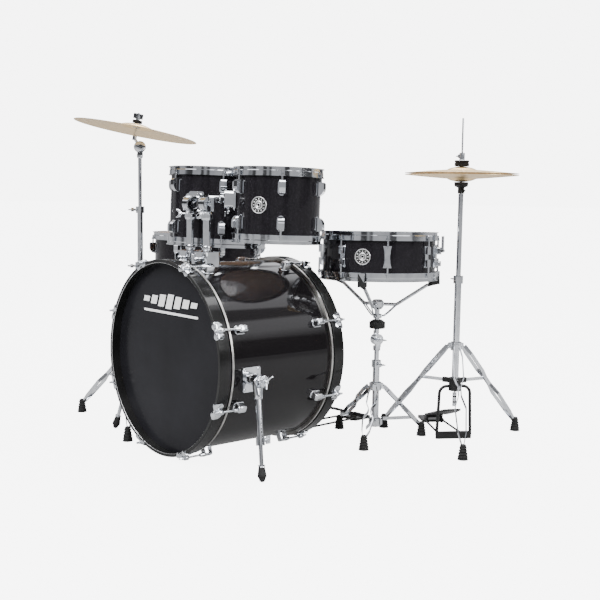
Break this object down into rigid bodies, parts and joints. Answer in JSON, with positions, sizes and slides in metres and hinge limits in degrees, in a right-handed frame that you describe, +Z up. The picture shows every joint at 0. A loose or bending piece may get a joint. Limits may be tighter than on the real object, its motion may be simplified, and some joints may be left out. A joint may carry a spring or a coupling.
{
  "type": "acoustic drum kit",
  "caption": "Acoustic drum kit: bass drum on spurs with rack toms, floor tom, snare on a stand, hi-hat and crash cymbals on tripod stands, and foot pedals.",
  "frame": {"origin": "on the floor at the centre of the kit's bounding box", "axes": "+Z up, bass drum along Y with its front head towards -Y, the player on the +Y side, the hi-hat towards +X"},
  "size_m": [1.4964, 1.141, 1.0411],
  "materials": {
    "black_wrap": "gloss sparkle wrap",
    "black_lacquer": "gloss lacquer",
    "dark_film": "satin film",
    "clear_film": "clear film",
    "chrome": "polished",
    "snare_wire": "drawn wire",
    "black_metal": "satin paint",
    "black_plastic": "satin",
    "felt": "pressed felt",
    "bronze": "lathed"
  },
  "bodies": {
    "root": {"bass_drum_shell": "black_wrap", "bass_drum_hoops": "black_lacquer", "bass_drum_front_head": "dark_film", "bass_drum_batter_head": "clear_film", "bass_drum_lugs": "chrome", "bass_drum_claws": "chrome", "bass_drum_tension_rods": "chrome", "bass_drum_spur_brackets": "chrome", "tom_holder_base": "chrome", "floor_tom_shell": "black_wrap", "floor_tom_hoops": "chrome", "floor_tom_heads": "clear_film", "floor_tom_tuning_lugs": "chrome", "floor_tom_leg_brackets": "chrome", "snare_stand_base": "chrome", "hihat_stand_base": "chrome", "hihat_pedal_frame": "black_metal", "crash_stand_base": "chrome", "kick_pedal_frame": "black_metal"},
    "spur_right": {"spur_leg_right": "chrome"},
    "spur_right_end": {"spur_tip_right": "chrome"},
    "spur_left": {"spur_leg_left": "chrome"},
    "spur_left_end": {"spur_tip_left": "chrome"},
    "right_tom_mast": {"right_tom_post": "chrome"},
    "right_tom": {"right_tom_tilter_arm": "chrome", "right_tom_bracket": "chrome", "right_tom_shell": "black_wrap", "right_tom_hoops": "chrome", "right_tom_heads": "clear_film", "right_tom_tuning_lugs": "chrome"},
    "left_tom_mast": {"left_tom_post": "chrome"},
    "left_tom": {"left_tom_tilter_arm": "chrome", "left_tom_bracket": "chrome", "left_tom_shell": "black_wrap", "left_tom_hoops": "chrome", "left_tom_heads": "clear_film", "left_tom_tuning_lugs": "chrome"},
    "floor_tom_leg_set": {"floor_tom_legs": "chrome"},
    "snare_mast": {"snare_stand_upper_tube": "chrome"},
    "snare": {"snare_basket": "chrome", "snare_shell": "black_wrap", "snare_hoops": "chrome", "snare_heads": "clear_film", "snare_tuning_lugs": "chrome", "snare_strainer": "chrome", "snare_wires": "snare_wire"},
    "snare_lever": {"snare_strainer_lever": "chrome"},
    "hihat_mast": {"hihat_upper_tube": "chrome", "hihat_seat_cup": "black_plastic", "hihat_bottom_cymbal": "bronze"},
    "hihat_rod": {"hihat_pull_rod": "chrome"},
    "hihat_top": {"hihat_clutch": "chrome", "hihat_top_cymbal": "bronze"},
    "hihat_pedal": {"hihat_footboard": "black_metal"},
    "crash_mast": {"crash_stand_middle_tube": "chrome"},
    "crash_rod": {"crash_stand_upper_tube": "chrome"},
    "crash_tilt_head": {"crash_tilter": "chrome"},
    "crash": {"crash_cymbal": "bronze"},
    "kick_pedal": {"kick_pedal_footboard": "black_metal"},
    "kick_beater": {"kick_pedal_beater": "felt"}
  },
  "joints": [
    {"name": "right_spur_fold", "type": "hinge", "parent": "root", "child": "spur_right", "pos_m": [0.46475, -0.44925, 0.268], "axis": [1, 0, 0], "range_deg": [0, 95]},
    {"name": "left_spur_fold", "type": "hinge", "parent": "root", "child": "spur_left", "pos_m": [-0.16925, -0.44925, 0.268], "axis": [1, 0, 0], "range_deg": [-75, 0]},
    {"name": "right_spur_length", "type": "slide", "parent": "spur_right", "child": "spur_right_end", "axis": [-0.2518, 0.1296, 0.9591], "range_m": [0, 0.04]},
    {"name": "left_spur_length", "type": "slide", "parent": "spur_left", "child": "spur_left_end", "axis": [0.2518, 0.1296, 0.9591], "range_m": [0, 0.015]},
    {"name": "right_tom_height", "type": "slide", "parent": "root", "child": "right_tom_mast", "axis": [0, 0, 1], "range_m": [0, 0.03]},
    {"name": "right_tom_tilt", "type": "hinge", "parent": "right_tom_mast", "child": "right_tom", "pos_m": [0.18975, -0.42425, 0.748], "axis": [1, 0, 0], "range_deg": [-5, 5]},
    {"name": "left_tom_height", "type": "slide", "parent": "root", "child": "left_tom_mast", "axis": [0, 0, 1], "range_m": [0, 0.03]},
    {"name": "left_tom_tilt", "type": "hinge", "parent": "left_tom_mast", "child": "left_tom", "pos_m": [0.10575, -0.42425, 0.748], "axis": [1, 0, 0], "range_deg": [-3.5, 5]},
    {"name": "floor_tom_leg_height", "type": "slide", "parent": "root", "child": "floor_tom_leg_set", "axis": [0, 0.014, 0.9999], "range_m": [0, 0.05]},
    {"name": "snare_stand_height", "type": "slide", "parent": "root", "child": "snare_mast", "axis": [0, 0, 1], "range_m": [-0.03, 0.03]},
    {"name": "snare_tilt", "type": "hinge", "parent": "snare_mast", "child": "snare", "pos_m": [0.38415, 0.10675, 0.322], "axis": [-0.9703, 0.2419, 0], "range_deg": [0, 6]},
    {"name": "snare_throw_off", "type": "hinge", "parent": "snare", "child": "snare_lever", "pos_m": [0.56111, 0.20746, 0.61202], "axis": [-0.4919, 0.8702, -0.0298], "range_deg": [0, 90]},
    {"name": "hihat_pedal_press", "type": "hinge", "parent": "root", "child": "hihat_pedal", "pos_m": [0.35991, 0.42484, 0.022], "axis": [-0.5446, -0.8387, 0], "range_deg": [-0.7, 5.5], "stiffness_Nm_per_rad": 40, "springref_deg": 5.73},
    {"name": "hihat_rod_travel", "type": "slide", "parent": "root", "child": "hihat_rod", "axis": [0, 0, 1], "range_m": [-0.003, 0.022]},
    {"name": "hihat_clutch_height", "type": "slide", "parent": "hihat_rod", "child": "hihat_top", "axis": [0, 0, 1], "range_m": [0, 0.03]},
    {"name": "hihat_stand_height", "type": "slide", "parent": "root", "child": "hihat_mast", "axis": [0, 0, 1], "range_m": [-0.04, 0]},
    {"name": "crash_stand_height_lower", "type": "slide", "parent": "root", "child": "crash_mast", "axis": [0, 0, 1], "range_m": [0, 0.08]},
    {"name": "crash_stand_height_upper", "type": "slide", "parent": "crash_mast", "child": "crash_rod", "axis": [0, 0, 1], "range_m": [0, 0.06]},
    {"name": "crash_tilt", "type": "hinge", "parent": "crash_rod", "child": "crash_tilt_head", "pos_m": [-0.27225, -0.36425, 0.93], "axis": [-0.9063, 0.4226, 0], "range_deg": [-15, 4]},
    {"name": "crash_cymbal_spin", "type": "hinge", "parent": "crash_tilt_head", "child": "crash", "pos_m": [-0.27601, -0.37232, 1.00476], "axis": [0.0748, 0.1605, 0.9842], "continuous": true},
    {"name": "kick_pedal_press", "type": "hinge", "parent": "root", "child": "kick_pedal", "pos_m": [0.14375, 0.22075, 0.022], "axis": [1, 0, 0], "range_deg": [0, 8.5], "stiffness_Nm_per_rad": 2, "springref_deg": -20.05},
    {"name": "kick_beater_swing", "type": "hinge", "parent": "root", "child": "kick_beater", "pos_m": [0.14375, -0.04625, 0.175], "axis": [1, 0, 0], "range_deg": [0, 48.5]}
  ],
  "couplings": [
    {"joint": "hihat_rod_travel", "follows": "hihat_pedal_press", "m_per_rad": 0.226},
    {"joint": "kick_beater_swing", "follows": "kick_pedal_press", "ratio": 5.6471}
  ]
}
